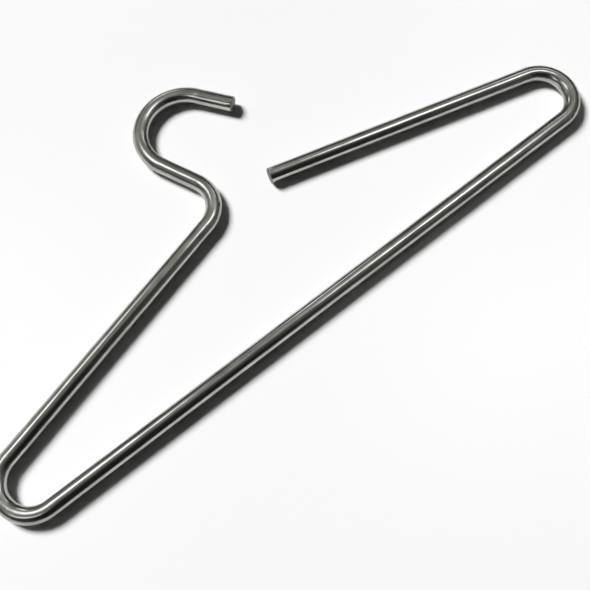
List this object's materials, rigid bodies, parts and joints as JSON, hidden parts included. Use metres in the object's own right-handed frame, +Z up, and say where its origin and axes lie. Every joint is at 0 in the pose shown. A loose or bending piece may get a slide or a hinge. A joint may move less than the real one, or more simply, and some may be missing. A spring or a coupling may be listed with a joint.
{
  "type": "lead apron hanger",
  "caption": "Open-sided hanger bent from one round polished steel rod: a rail hook, a neck bend, two sloping arms and a bottom bar, with a mouth at the neck where a heavy apron slides on.",
  "frame": {"origin": "the hook's seat: the point inside the top of the hook, on the rod's surface, where a rail carries the hanger", "axes": "+Z up as the hanger hangs, +X along the bottom bar towards the side where the hook and the apron mouth open, +Y through the rod from front to back"},
  "size_m": [0.401, 0.0094, 0.171],
  "materials": {
    "polished_steel": "polished"
  },
  "bodies": {
    "root": {"bent_rod": "polished_steel"}
  },
  "joints": []
}
